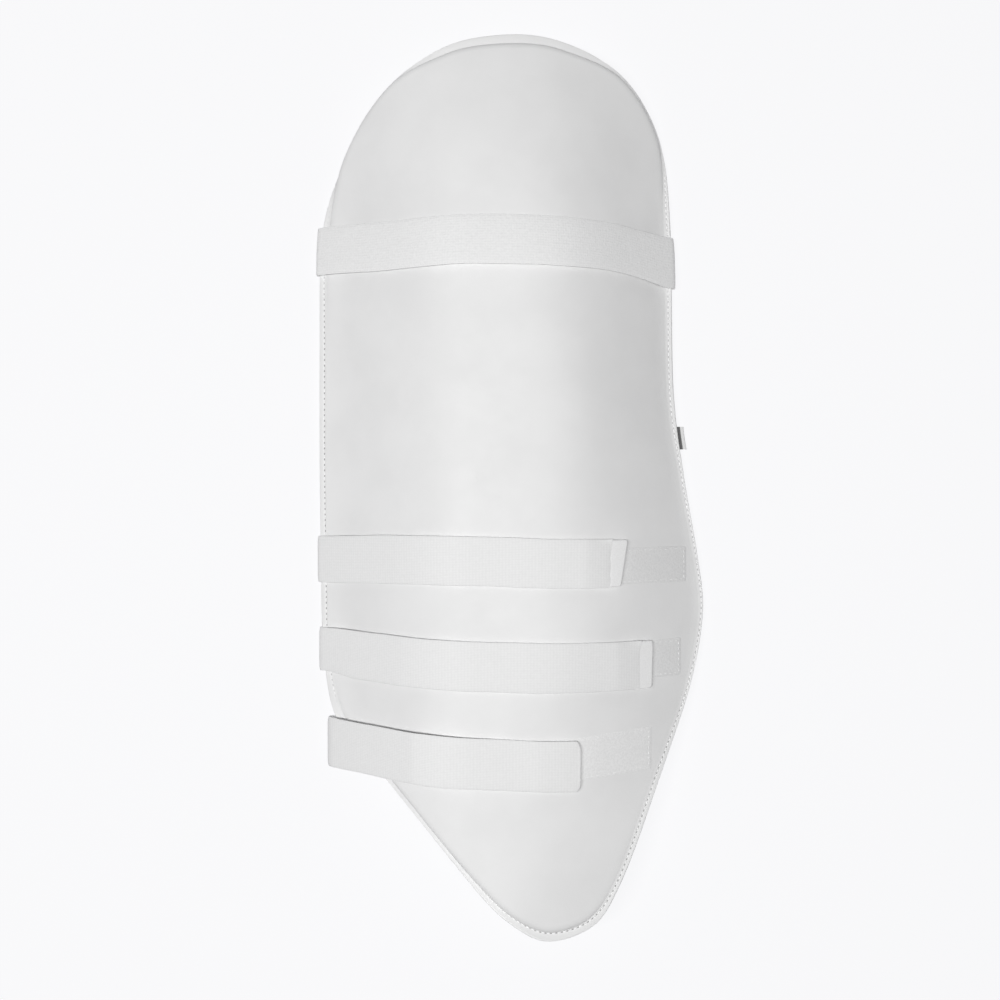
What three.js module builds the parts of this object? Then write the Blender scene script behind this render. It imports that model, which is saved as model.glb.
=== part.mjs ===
import * as THREE from 'three';

// Cricket thigh pad: a moulded foam shell bent round the front of the thigh, with a sewn edge,
// an elastic band across its top and three elastic leg straps that fasten on its outer face.
// Millimetres. X runs across the thigh, Y up the thigh and Z out of the outer face.
// The pad lies on its side edges with the outer face up.

// Thickness of the padding and of the sewn edge round it
const PAD_THICKNESS = 13;
const EDGE_THICKNESS = 2.4;
// The step from the edge up to the padding, where the padding doesn't run smoothly into the edge
const STEP_HEIGHT = 3;
const STEP_ROLL = 4;
// How far in from the edge the padding has its full thickness, beside a step and where there is none
const STEP_BEVEL = 12;
const SMOOTH_BEVEL = 27;

// The arch across the thigh falls away from its crest to both sides, and flares out again at its edges
const CREST = -9;
const LEFT_SIDE = { turn: 27, bend: 2.5, flareWidth: 18 };
const RIGHT_FLARE_WIDTH = 9;
const EDGE_FLARE = 0.45;
const FOOT_HEIGHT = 4.2;

// The outer face along the thigh: the crest's height, where the sides come down, how far up they are there,
// and how far from the crest and how sharply the arch turns into its right side
const ARCH = [
  { place: 'dome top', y: 215, crown: 36, left: 87, right: 85, leftUp: 0, rightUp: 0, turn: 46, bend: 2.8 },
  { place: 'dome', y: 165, crown: 46, left: 86.5, right: 84, leftUp: 0, rightUp: 0, turn: 49, bend: 3.1 },
  { place: 'band', y: 112, crown: 51, left: 86, right: 84.2, leftUp: 0, rightUp: 0, turn: 53, bend: 3.6 },
  { place: 'waist', y: 45, crown: 53, left: 86.5, right: 86, leftUp: 0, rightUp: 0, turn: 56, bend: 4.2 },
  { place: 'wing', y: -58, crown: 53, left: 85, right: 100, leftUp: 0, rightUp: 0, turn: 60, bend: 4 },
  { place: 'strap', y: -122, crown: 51, left: 82.5, right: 93, leftUp: 1, rightUp: 5, turn: 56, bend: 3 },
  { place: 'tip', y: -215, crown: 48, left: 80.5, right: 85, leftUp: 6, rightUp: 15, turn: 32, bend: 2.1 },
];

// The outer edge in plan, down the left side from the dome to the tip and up the right side: how wide the
// sewn edge shows there, and the share of the step that is smoothed away
const OUTLINE = [
  { place: 'dome top', x: 8.4, y: 214, edge: 5, smooth: 0 },
  { place: 'dome left', x: -25.1, y: 208, edge: 4.3, smooth: 0 },
  { place: 'left brow', x: -54.3, y: 190.5, edge: 0.9, smooth: 0 },
  { place: 'left shoulder', x: -75, y: 161.9, edge: 0.8, smooth: 0.1 },
  { place: 'left upper side', x: -85.2, y: 127.5, edge: 3.6, smooth: 0.7 },
  { place: 'left side', x: -86.8, y: 60, edge: 4.6, smooth: 1 },
  { place: 'left lower side', x: -85.9, y: -30, edge: 4.6, smooth: 1 },
  { place: 'left hip', x: -83.7, y: -78.7, edge: 4.6, smooth: 1 },
  { place: 'left corner', x: -79.4, y: -108.1, edge: 5, smooth: 0.8 },
  { place: 'cut start', x: -69.8, y: -123.4, edge: 4, smooth: 0.4 },
  { place: 'cut middle', x: -51.1, y: -140.9, edge: 3, smooth: 0.1 },
  { place: 'cut end', x: -16, y: -177.5, edge: 2.6, smooth: 0 },
  { place: 'tip left', x: 4.1, y: -199.5, edge: 3.2, smooth: 0 },
  { place: 'tip', x: 24.9, y: -210.9, edge: 4.5, smooth: 0.1 },
  { place: 'tip right', x: 47.4, y: -204.5, edge: 4.4, smooth: 0.6 },
  { place: 'taper end', x: 58.4, y: -187.2, edge: 4.5, smooth: 0.9 },
  { place: 'taper start', x: 78.2, y: -139.8, edge: 4.5, smooth: 1 },
  { place: 'wing lower', x: 94.5, y: -93.3, edge: 4.3, smooth: 1 },
  { place: 'wing', x: 100.2, y: -58, edge: 4, smooth: 1 },
  { place: 'wing upper', x: 97.6, y: -32.8, edge: 4, smooth: 1 },
  { place: 'flank', x: 91.1, y: 5.2, edge: 4, smooth: 1 },
  { place: 'waist', x: 86.1, y: 43.1, edge: 4, smooth: 1 },
  { place: 'right upper side', x: 84.1, y: 126.1, edge: 4, smooth: 1 },
  { place: 'right shoulder', x: 79.5, y: 169.8, edge: 3.8, smooth: 0.6 },
  { place: 'right brow', x: 62.6, y: 197, edge: 3.4, smooth: 0.1 },
  { place: 'dome right', x: 33.5, y: 211.5, edge: 4.6, smooth: 0 },
];
const TIP_INDEX = OUTLINE.findIndex((point) => point.place === 'tip');
const OUTLINE_CURVE = new THREE.CatmullRomCurve3(
  OUTLINE.map((point) => new THREE.Vector3(point.x, point.y, 0)),
  true,
  'centripetal',
);

// How finely the shell is cut up
const OUTLINE_SAMPLES = 600;
const EDGE_STEPS = 56;
const ACROSS_STEPS = 12;
const ROLL_STEPS = [0.15, 0.4, 1];
const BEVEL_STEPS = [0.4, 1];

// Elastic, hook tape and loop tape
const BAND_WIDTH = 22;
const BAND_THICKNESS = 1.3;
const TAPE_THICKNESS = 1.2;
const GAP = 0.4;
const TAPE_STEP = 4;
const WRAP_STEP = 0.5;
// How far beside a band the shell's corners still count as under it
const BAND_MARGIN = 11;

// The bands' middle lines: height on the thigh at the crown and rise per millimetre to the right
const TOP_BAND = { y: 112, rise: -0.025 };
// The lower strap is slack: it stands off the pad at its left fold and lies on the floor behind
const LOWER_FOLD = { x: -74.3, radius: 5.5 };
const STRAPS = [
  { name: 'upper', y: -34.7, rise: -0.006, end: 52.3, endLift: 0 },
  { name: 'middle', y: -80.6, rise: -0.012, end: 66.4, endLift: 0 },
  { name: 'lower', y: -126, rise: -0.044, end: 38.1, endLift: 2.6, fold: LOWER_FOLD },
];
const END_LIFT_LENGTH = 26;
const SLACK_STEPS = 14;
const SLACK_POWER = 5;
const SEWN_INSET = 2.5;
// The top band's sewn ends on the inner face
const TAIL_START = 3;
const TAIL_LENGTH = 27;
const TAIL_STEP = 4;

// Hook tape under each free end: from under the elastic to its own end at the top and bottom corners
const HOOK_TABS = [
  { name: 'upper', start: 40, endTop: 61.1, endBottom: 57.4, height: 21.4 },
  { name: 'middle', start: 54, endTop: 73.5, endBottom: 73.1, height: 21.4 },
  { name: 'lower', start: 18, endTop: 37.4, endBottom: 37.4, height: 19 },
];
// Loop tape sewn on the face: its ends, its middle line and the middle line's rise
const LOOP_PATCHES = [
  { name: 'upper', start: 34, end: 91, y: -36.4, rise: 0, height: 17 },
  { name: 'middle', start: 48, end: 88, y: -80.6, rise: 0.01, height: 18 },
  { name: 'lower', start: 12, end: 73, y: -127.2, rise: 0.075, height: 18.4 },
];

// Blank woven tag that stands out of the right seam
const TAG = { y: 24.4, height: 11, inside: 3, outside: 4.4, thickness: 0.9 };

const COVER_WHITE = new THREE.MeshStandardMaterial({ color: 0xececea, roughness: 0.55, metalness: 0 });
const ELASTIC_WHITE = new THREE.MeshStandardMaterial({ color: 0xeaeae8, roughness: 0.9, metalness: 0 });
const TAPE_WHITE = new THREE.MeshStandardMaterial({ color: 0xe2e2e0, roughness: 0.95, metalness: 0 });
const TAG_GREY = new THREE.MeshStandardMaterial({ color: 0x4a4a4c, roughness: 0.9, metalness: 0 });

// Further out than any part of the pad
const FAR_OFF = 500;
// The distance that slopes are measured over
const SLOPE_STEP = 0.5;

const mix = (a, b, share) => a + (b - a) * share;

// Value of one column at height y, on a smooth curve through the table's rows
function columnAt(table, column, y) {
  const last = table.length - 2;
  let k = 0;
  while (k < last && y < table[k + 1].y) k += 1;
  const steepness = (i) => {
    const above = table[Math.max(i - 1, 0)];
    const below = table[Math.min(i + 1, table.length - 1)];
    return (below[column] - above[column]) / (below.y - above.y);
  };
  const span = table[k + 1].y - table[k].y;
  const t = THREE.MathUtils.clamp((y - table[k].y) / span, 0, 1);
  const easing = t * t * (3 - 2 * t);
  const bow = t * (1 - t) * span * ((1 - t) * steepness(k) - t * steepness(k + 1));
  return mix(table[k][column], table[k + 1][column], easing) + bow;
}

// How far the arch has fallen at some distance from its crest, as a share of its turn
function archFall(distance, reach, { turn, bend, flareWidth }) {
  const roof = (1 + (distance / turn) ** bend) ** (1 / bend) - 1;
  const intoFlare = Math.max(distance - reach + flareWidth, 0);
  return roof - (1 - EDGE_FLARE) * intoFlare ** 2 / (2 * flareWidth * turn);
}

// Height of the outer face
function faceHeight(x, y) {
  const column = (name) => columnAt(ARCH, name, y);
  const isLeft = x < CREST;
  const rightSide = { turn: column('turn'), bend: column('bend'), flareWidth: RIGHT_FLARE_WIDTH };
  const side = isLeft ? LEFT_SIDE : rightSide;
  const reach = isLeft ? column('left') + CREST : column('right') - CREST;
  const fall = column('crown') - FOOT_HEIGHT - column(isLeft ? 'leftUp' : 'rightUp');
  return column('crown') - fall * archFall(Math.abs(x - CREST), reach, side) / archFall(reach, reach, side);
}

const faceNormal = (x, y) => {
  const alongX = (faceHeight(x + SLOPE_STEP, y) - faceHeight(x - SLOPE_STEP, y)) / (2 * SLOPE_STEP);
  const alongY = (faceHeight(x, y + SLOPE_STEP) - faceHeight(x, y - SLOPE_STEP)) / (2 * SLOPE_STEP);
  return new THREE.Vector3(-alongX, -alongY, 1).normalize();
};

// A point of the shell at some depth under the outer face
function pointUnder(plan, depth) {
  const point = new THREE.Vector3(plan.x, plan.y, faceHeight(plan.x, plan.y));
  return point.addScaledVector(faceNormal(plan.x, plan.y), -depth);
}

// Closed solid from corner points and triangles
function solidGeometry(points, triangles) {
  const geometry = new THREE.BufferGeometry();
  geometry.setFromPoints(points);
  geometry.setIndex(triangles.flat());
  geometry.computeVertexNormals();
  geometry.computeBoundingBox();
  return geometry;
}

// A point of the outline, with its other columns, at some share of the way round
function outlineAt(share) {
  const plan = OUTLINE_CURVE.getPoint(share);
  const index = share * OUTLINE.length;
  const before = OUTLINE[Math.floor(index) % OUTLINE.length];
  const after = OUTLINE[Math.ceil(index) % OUTLINE.length];
  const part = THREE.MathUtils.smoothstep(index % 1, 0, 1);
  return { plan, edge: mix(before.edge, after.edge, part), smooth: mix(before.smooth, after.smooth, part) };
}

// Evenly spaced points of the outline, all the way round from the dome top
function edgeLoop() {
  const tipShare = TIP_INDEX / OUTLINE.length;
  const side = (from, to) => {
    const shares = Array.from({ length: OUTLINE_SAMPLES + 1 }, (_, i) => i / OUTLINE_SAMPLES);
    const fine = shares.map((share) => outlineAt(mix(from, to, share)));
    const lengths = [0];
    for (let i = 1; i < fine.length; i += 1) {
      lengths.push(lengths[i - 1] + fine[i].plan.distanceTo(fine[i - 1].plan));
    }
    return Array.from({ length: EDGE_STEPS }, (_, step) => {
      const target = lengths.at(-1) * step / EDGE_STEPS;
      return fine[lengths.findIndex((length) => length >= target)];
    });
  };
  return [...side(0, tipShare), ...side(tipShare, 1)];
}

// At each point of the edge: the way in, and the sizes of the edge, the step and the bevel
function edgeFrames(loop) {
  return loop.map(({ plan, edge, smooth }, i) => {
    const next = loop[(i + 1) % loop.length].plan;
    const previous = loop[(i + loop.length - 1) % loop.length].plan;
    const along = new THREE.Vector2(next.x - previous.x, next.y - previous.y).normalize();
    const inward = new THREE.Vector2(-along.y, along.x);
    const step = STEP_HEIGHT * (1 - smooth);
    return { rim: plan, inward, edge, step, bevel: mix(STEP_BEVEL, SMOOTH_BEVEL, smooth) };
  });
}

const planAt = (frame, distance) =>
  new THREE.Vector2(frame.rim.x, frame.rim.y).addScaledVector(frame.inward, distance);

// Rings of points on one face, from the rim to the full thickness
function faceRings(frames, isFront, points) {
  const addRing = (place) => {
    const start = points.length;
    frames.forEach((frame) => points.push(place(frame)));
    return frames.map((_, i) => start + i);
  };
  const edgeDepth = (frame) => frame.step + (isFront ? 0 : EDGE_THICKNESS);
  const rings = [
    addRing((frame) => pointUnder(planAt(frame, 0), edgeDepth(frame))),
    addRing((frame) => pointUnder(planAt(frame, frame.edge), edgeDepth(frame))),
  ];
  for (const step of isFront ? ROLL_STEPS : BEVEL_STEPS) {
    const rest = (1 - step) ** 2;
    rings.push(addRing((frame) => {
      const depth = isFront ? frame.step * rest : mix(PAD_THICKNESS, frame.step + EDGE_THICKNESS, rest);
      return pointUnder(planAt(frame, frame.edge + (isFront ? STEP_ROLL : frame.bevel) * step), depth);
    }));
  }
  return rings;
}

// One face of the shell: rings of points round its edge, then rows across the middle
function shellFace(frames, isFront, points) {
  const count = frames.length;
  const rings = faceRings(frames, isFront, points);
  const faces = [];
  const addFace = (...corners) => {
    if (new Set(corners).size < corners.length) return;
    faces.push(isFront ? corners : corners.reverse());
  };
  for (let r = 0; r + 1 < rings.length; r += 1) {
    for (let i = 0; i < count; i += 1) {
      const j = (i + 1) % count;
      addFace(rings[r][i], rings[r][j], rings[r + 1][j]);
      addFace(rings[r][i], rings[r + 1][j], rings[r + 1][i]);
    }
  }
  const inner = rings.at(-1);
  const innerPlan = frames.map((frame) => planAt(frame, frame.edge + (isFront ? STEP_ROLL : frame.bevel)));
  const rows = [];
  for (let i = 0; i <= EDGE_STEPS; i += 1) {
    const mirror = (count - i) % count;
    const row = [inner[i]];
    for (let j = 1; j < ACROSS_STEPS; j += 1) {
      const atPole = i === 0 || i === EDGE_STEPS;
      if (atPole) {
        row.push(inner[i]);
        continue;
      }
      const plan = innerPlan[i].clone().lerp(innerPlan[mirror], j / ACROSS_STEPS);
      row.push(points.length);
      points.push(pointUnder(plan, isFront ? 0 : PAD_THICKNESS));
    }
    row.push(inner[mirror]);
    rows.push(row);
  }
  for (let i = 0; i < EDGE_STEPS; i += 1) {
    for (let j = 0; j < ACROSS_STEPS; j += 1) {
      addFace(rows[i][j], rows[i + 1][j], rows[i + 1][j + 1]);
      addFace(rows[i][j], rows[i + 1][j + 1], rows[i][j + 1]);
    }
  }
  return { faces, rim: rings[0] };
}

// The padded shell with its sewn edge
function shellGeometry(frames) {
  const points = [];
  const front = shellFace(frames, true, points);
  const back = shellFace(frames, false, points);
  const rimFaces = frames.flatMap((_, i) => {
    const j = (i + 1) % frames.length;
    return [
      [front.rim[i], back.rim[i], back.rim[j]],
      [front.rim[i], back.rim[j], front.rim[j]],
    ];
  });
  return solidGeometry(points, [...front.faces, ...back.faces, ...rimFaces]);
}

// Mesh of one piece
function piece(name, geometry, material) {
  const mesh = new THREE.Mesh(geometry, material);
  mesh.name = name;
  return mesh;
}

// Heights of the made shell's outer and inner faces at a place in plan, endless where it doesn't reach
function outerHeight(shell, x, y) {
  const ray = new THREE.Raycaster(new THREE.Vector3(x, y, FAR_OFF), new THREE.Vector3(0, 0, -1));
  return ray.intersectObject(shell)[0]?.point.z ?? -Infinity;
}

function innerHeight(shell, x, y) {
  const ray = new THREE.Raycaster(new THREE.Vector3(x, y, -FAR_OFF), new THREE.Vector3(0, 0, 1));
  return ray.intersectObject(shell)[0]?.point.z ?? Infinity;
}

// A tape that lies on the outer face: a four-cornered sheet in plan, bent to the face at some height over it
function tapeGeometry(shell, corners, clearance) {
  const [bottomLeft, bottomRight, topRight, topLeft] = corners;
  const columns = Math.ceil(bottomLeft.distanceTo(bottomRight) / TAPE_STEP);
  const rows = Math.ceil(bottomLeft.distanceTo(topLeft) / TAPE_STEP);
  const points = [];
  for (const level of [clearance, clearance + TAPE_THICKNESS]) {
    for (let r = 0; r <= rows; r += 1) {
      for (let c = 0; c <= columns; c += 1) {
        const low = bottomLeft.clone().lerp(bottomRight, c / columns);
        const plan = low.lerp(topLeft.clone().lerp(topRight, c / columns), r / rows);
        const lift = level / faceNormal(plan.x, plan.y).z;
        points.push(new THREE.Vector3(plan.x, plan.y, outerHeight(shell, plan.x, plan.y) + lift));
      }
    }
  }
  const perLevel = (rows + 1) * (columns + 1);
  const at = (level, r, c) => level * perLevel + r * (columns + 1) + c;
  const faces = [];
  const addQuad = (a, b, c, d) => faces.push([a, b, c], [a, c, d]);
  for (let r = 0; r < rows; r += 1) {
    for (let c = 0; c < columns; c += 1) {
      addQuad(at(1, r, c), at(1, r, c + 1), at(1, r + 1, c + 1), at(1, r + 1, c));
      addQuad(at(0, r, c), at(0, r + 1, c), at(0, r + 1, c + 1), at(0, r, c + 1));
    }
    addQuad(at(0, r, 0), at(1, r, 0), at(1, r + 1, 0), at(0, r + 1, 0));
    addQuad(at(0, r, columns), at(0, r + 1, columns), at(1, r + 1, columns), at(1, r, columns));
  }
  for (let c = 0; c < columns; c += 1) {
    addQuad(at(0, 0, c), at(0, 0, c + 1), at(1, 0, c + 1), at(1, 0, c));
    addQuad(at(0, rows, c), at(1, rows, c), at(1, rows, c + 1), at(0, rows, c + 1));
  }
  return solidGeometry(points, faces);
}

// Corners in plan of a tape along a sloping middle line
function tapeCorners({ y, rise }, height, start, endTop, endBottom) {
  const corner = (x, side) => new THREE.Vector2(x, y + rise * x + side * height / 2);
  return [corner(start, -1), corner(endBottom, -1), corner(endTop, 1), corner(start, 1)];
}

// Loop tape sewn on the face
function loopPatch(shell, patch) {
  const corners = tapeCorners(patch, patch.height, patch.start, patch.end, patch.end);
  return piece(`loop_patch_${patch.name}`, tapeGeometry(shell, corners, GAP), TAPE_WHITE);
}

// Hook tape on the loop tape, under the free end of a strap
function hookTab(shell, tab, strap) {
  const corners = tapeCorners(strap, tab.height, tab.start, tab.endTop, tab.endBottom);
  const clearance = GAP + TAPE_THICKNESS + GAP;
  return piece(`hook_tab_${tab.name}`, tapeGeometry(shell, corners, clearance), TAPE_WHITE);
}

// The corners of some pieces that a band passes over, seen along the thigh
function sectionUnder(pieces, band) {
  const reach = BAND_WIDTH / 2 + BAND_MARGIN;
  const section = [];
  for (const { geometry } of pieces) {
    const { position } = geometry.attributes;
    for (let i = 0; i < position.count; i += 1) {
      const x = position.getX(i);
      const middle = band.y + band.rise * x;
      if (Math.abs(position.getY(i) - middle) < reach) section.push(new THREE.Vector2(x, position.getZ(i)));
    }
  }
  return section;
}

// The shortest closed line round a section: left along the bottom, then right over the top
function lineAround(section) {
  const sorted = [...section].sort((a, b) => a.x - b.x || a.y - b.y);
  const turn = (a, b, c) => (b.x - a.x) * (c.y - a.y) - (b.y - a.y) * (c.x - a.x);
  const half = (ordered) => {
    const chain = [];
    for (const point of ordered) {
      while (chain.length > 1 && turn(chain.at(-2), chain.at(-1), point) <= 0) chain.pop();
      chain.push(point);
    }
    return chain.slice(0, -1);
  };
  const bottom = half(sorted);
  const top = half(sorted.reverse());
  return [...bottom.reverse(), ...top.reverse()];
}

const roundPoint = (centre, radius, angle) =>
  new THREE.Vector2(centre.x + radius * Math.cos(angle), centre.y + radius * Math.sin(angle));

// The middle line of a taut band round a section, kept clear of its corners and turning round them
function tautLine(section) {
  const hull = lineAround(section);
  const distance = GAP + BAND_THICKNESS / 2;
  const line = [];
  hull.forEach((corner, i) => {
    const before = hull.at(i - 1);
    const after = hull[(i + 1) % hull.length];
    const outward = (a, b) => Math.atan2(b.x - a.x, a.y - b.y);
    const first = outward(before, corner);
    const sweep = THREE.MathUtils.euclideanModulo(first - outward(corner, after), 2 * Math.PI);
    const turns = Math.ceil(sweep / WRAP_STEP);
    for (let k = 0; k <= turns; k += 1) {
      const point = roundPoint(corner, distance, first - sweep * k / turns);
      const previous = line.at(-1);
      if (!previous || previous.distanceTo(point) > WRAP_STEP) line.push(point);
    }
  });
  return line;
}

// The stretch of a line until it passes x, with a last point on x
function lineUntil(line, x) {
  const first = line[0].x < x;
  const stop = line.findIndex((point) => point.x < x !== first);
  if (stop < 0) return line;
  const share = (x - line[stop - 1].x) / (line[stop].x - line[stop - 1].x);
  return [...line.slice(0, stop), line[stop - 1].clone().lerp(line[stop], share)];
}

// A flat band along a middle line
function bandGeometry(line, band) {
  const points = [];
  const faces = [];
  line.forEach((point, i) => {
    const after = line[Math.min(i + 1, line.length - 1)];
    const before = line[Math.max(i - 1, 0)];
    const along = after.clone().sub(before).normalize();
    const outward = new THREE.Vector2(-along.y, along.x);
    const middle = band.y + band.rise * point.x;
    for (const [face, edge] of [[1, 1], [1, -1], [-1, -1], [-1, 1]]) {
      const corner = point.clone().addScaledVector(outward, face * BAND_THICKNESS / 2);
      points.push(new THREE.Vector3(corner.x, middle + edge * BAND_WIDTH / 2, corner.y));
    }
  });
  for (let i = 0; i + 1 < line.length; i += 1) {
    for (let side = 0; side < 4; side += 1) {
      const [a, b] = [i * 4 + side, i * 4 + (side + 1) % 4];
      faces.push([a, b, b + 4], [a, b + 4, a + 4]);
    }
  }
  const end = points.length - 4;
  faces.push([0, 3, 2], [0, 2, 1], [end, end + 1, end + 2], [end, end + 2, end + 3]);
  return solidGeometry(points, faces);
}

// Where a taut line turns round the left edge
const leftTurn = (line) => line.reduce((best, point, i) => (point.x < line[best].x ? i : best), 0);

// The right edge's frame at some height on the thigh
function rightEdgeAt(frames, y) {
  const rightSide = frames.slice(EDGE_STEPS);
  const offEdge = (frame) => Math.abs(frame.rim.y - y);
  return rightSide.reduce((best, frame) => (offEdge(frame) < offEdge(best) ? frame : best));
}

// Where a strap is sewn on behind the right edge, inside the edge over the strap's whole width
function sewnPlace(frames, strap) {
  const sides = [-BAND_WIDTH / 2, 0, BAND_WIDTH / 2];
  return Math.min(...sides.map((side) => rightEdgeAt(frames, strap.y + side).rim.x)) - SEWN_INSET;
}

// The end of a band sewn down on the inner face, from the edge inwards
function sewnTail(shell, band, edgeX) {
  const inward = -Math.sign(edgeX);
  const tail = [];
  for (let run = TAIL_START; run <= TAIL_LENGTH; run += TAIL_STEP) {
    const x = edgeX + inward * run;
    const middle = band.y + band.rise * x;
    const heights = [-BAND_WIDTH / 2, 0, BAND_WIDTH / 2].map((side) => innerHeight(shell, x, middle + side));
    const clearance = (GAP + BAND_THICKNESS / 2) / faceNormal(x, middle).z;
    tail.push(new THREE.Vector2(x, Math.min(...heights) - clearance));
  }
  return tail;
}

// The band across the top, turned round both edges and sewn down behind them
function topBand(shell) {
  const line = tautLine(sectionUnder([shell], TOP_BAND));
  const turnAt = leftTurn(line);
  const rightMost = Math.max(...line.map((point) => point.x));
  const turnsUnder = (point) => Math.abs(point.x) > Math.min(rightMost, -line[turnAt].x) - TAIL_START;
  const underRight = line.slice(0, turnAt).filter((point) => point.x > 0 && turnsUnder(point));
  const underLeft = line.slice(0, turnAt).filter((point) => point.x < 0 && turnsUnder(point));
  const wholeLine = [
    ...sewnTail(shell, TOP_BAND, line[turnAt].x).reverse(),
    ...underLeft,
    ...line.slice(turnAt),
    ...underRight,
    ...sewnTail(shell, TOP_BAND, rightMost),
  ];
  return piece('top_band', bandGeometry(wholeLine, TOP_BAND), ELASTIC_WHITE);
}

// A slack stretch from a fold on the floor, rising at its far end to where it is sewn on
function slackLine(fold, sewn) {
  return Array.from({ length: SLACK_STEPS + 1 }, (_, i) => {
    const share = i / SLACK_STEPS;
    return new THREE.Vector2(mix(fold.x, sewn.x, share), mix(fold.y, sewn.y, share ** SLACK_POWER));
  });
}

// A leg strap: from the right edge behind the leg, round the left edge and over the face to its free end
function legStrap(pieces, strap, frames) {
  const [shell] = pieces;
  const section = sectionUnder(pieces, strap);
  const leftMost = Math.min(...section.map((point) => point.x));
  const edge = sewnPlace(frames, strap);
  const lowest = shell.geometry.boundingBox.min.z;
  if (strap.fold) {
    const { x, radius } = strap.fold;
    const centre = new THREE.Vector2(x, lowest + radius);
    for (let angle = 0; angle < 2 * Math.PI; angle += WRAP_STEP) {
      section.push(roundPoint(centre, radius, angle));
    }
  } else {
    section.push(new THREE.Vector2(leftMost + SEWN_INSET, lowest), new THREE.Vector2(edge, lowest));
  }
  const line = tautLine(section);
  const turnAt = leftTurn(line);
  let behind = lineUntil(line.slice(0, turnAt).reverse(), edge);
  if (strap.fold) {
    const folded = behind.findIndex((point) => point.x > strap.fold.x);
    behind = [...behind.slice(0, folded), ...slackLine(behind[folded], behind.at(-1))];
  }
  const over = lineUntil(line.slice(turnAt), strap.end);
  for (const point of over) {
    const share = Math.max(1 - (strap.end - point.x) / END_LIFT_LENGTH, 0);
    point.y += strap.endLift * share ** 2;
  }
  return piece(`leg_strap_${strap.name}`, bandGeometry([...behind.reverse(), ...over], strap), ELASTIC_WHITE);
}

// The blank tag, caught under the right edge
function seamTag(frames) {
  const frame = rightEdgeAt(frames, TAG.y);
  const rim = pointUnder(planAt(frame, 0), frame.step + EDGE_THICKNESS);
  const geometry = new THREE.BoxGeometry(TAG.inside + TAG.outside, TAG.height, TAG.thickness);
  const tag = piece('seam_tag', geometry, TAG_GREY);
  tag.position.set(rim.x + (TAG.outside - TAG.inside) / 2, TAG.y, rim.z - GAP - TAG.thickness / 2);
  return tag;
}

const frames = edgeFrames(edgeLoop());
const shell = piece('pad_shell', shellGeometry(frames), COVER_WHITE);
const pad = new THREE.Group();
pad.add(shell, topBand(shell), seamTag(frames));
STRAPS.forEach((strap, i) => {
  const patch = loopPatch(shell, LOOP_PATCHES[i]);
  const tab = hookTab(shell, HOOK_TABS[i], strap);
  pad.add(patch, tab, legStrap([shell, patch, tab], strap, frames));
});

// The origin is under the middle of the whole pad
const box = new THREE.Box3().setFromObject(pad);
const middle = box.getCenter(new THREE.Vector3());
pad.position.set(-middle.x, -middle.y, -box.min.z);

export default pad;
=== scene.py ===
"""Cricket thigh pad, outer face up: a moulded shell with a sewn edge, elastic bands and fastening tape."""

import math

import bpy
import numpy as np
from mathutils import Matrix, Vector
from mathutils.bvhtree import BVHTree


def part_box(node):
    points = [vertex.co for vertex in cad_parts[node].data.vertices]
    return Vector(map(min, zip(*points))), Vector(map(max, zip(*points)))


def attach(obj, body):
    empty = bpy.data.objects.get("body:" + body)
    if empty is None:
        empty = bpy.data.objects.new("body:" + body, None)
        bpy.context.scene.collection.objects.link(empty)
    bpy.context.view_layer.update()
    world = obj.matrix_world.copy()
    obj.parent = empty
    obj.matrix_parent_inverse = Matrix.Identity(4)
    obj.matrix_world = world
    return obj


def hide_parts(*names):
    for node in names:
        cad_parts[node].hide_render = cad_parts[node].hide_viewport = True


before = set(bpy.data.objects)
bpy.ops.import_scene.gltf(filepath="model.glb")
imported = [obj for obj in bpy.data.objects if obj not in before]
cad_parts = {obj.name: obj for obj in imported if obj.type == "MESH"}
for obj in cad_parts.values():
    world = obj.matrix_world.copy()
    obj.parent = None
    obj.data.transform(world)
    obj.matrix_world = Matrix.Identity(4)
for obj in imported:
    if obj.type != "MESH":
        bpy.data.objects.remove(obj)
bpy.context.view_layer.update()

# Sizes are in millimetres in the pad's own coordinates: X across the thigh, Y up it, Z out of the face
MM = 0.001

# Padding and sewn edge
PAD_THICKNESS = 13
EDGE_THICKNESS = 2.4
STEP_HEIGHT = 3
STEP_ROLL = 4
ROLL_POWER = 2.4
STEP_BEVEL = 12
SMOOTH_BEVEL = 27
# The back cover's edge shows as a thin lip outside the front cover's edge
LIP_WIDTH = 0.9
LIP_DROP = 1.1
LIP_WALL = 0.16
RIM_ROUND = 0.5
RIM_ROUND_SHARE = 0.5
# The seam pulls the edge in along a groove, and the padding rises from the edge along a crease
SEAM_INSET = 0.3
SEAM_INSET_SMOOTH = 1.4
GROOVE_DEPTH = 0.28
GROOVE_WIDTH = 0.42
GROOVE_REACH = 0.9
CREASE_DEPTH = 0.5
CREASE_WIDTH = 0.35
CREASE_WIDTH_OUTSIDE = 2.2
# The lip and half of the groove each take at most this share of a narrow edge
NARROW_SHARE = 0.25
# The inner face starts a little inside the rim, further in where the edge hangs, and hangs nearly as far
BACK_INSET = 0.2
HANG_INSET = 0.5
HANG_BACK = 0.9
# Slight unevenness of the moulded face: waves that turn one radian over these lengths along X and Y
WAVE_HEIGHT = 0.05
LONG_WAVE = (9.1, 23)
CROSS_WAVE = (-31, 17.3)
SHORT_WAVE = (5.3, -11.7)
SHORT_WAVE_SHARE = 0.6
SHORT_WAVE_START = 1.3

# The arch across the thigh falls away from its crest to both sides, and flares out again at its edges
CREST = -9
LEFT_TURN = 27
LEFT_BEND = 2.5
LEFT_FLARE_WIDTH = 18
RIGHT_FLARE_WIDTH = 9
EDGE_FLARE = 0.45
FOOT_HEIGHT = 4.2

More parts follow.
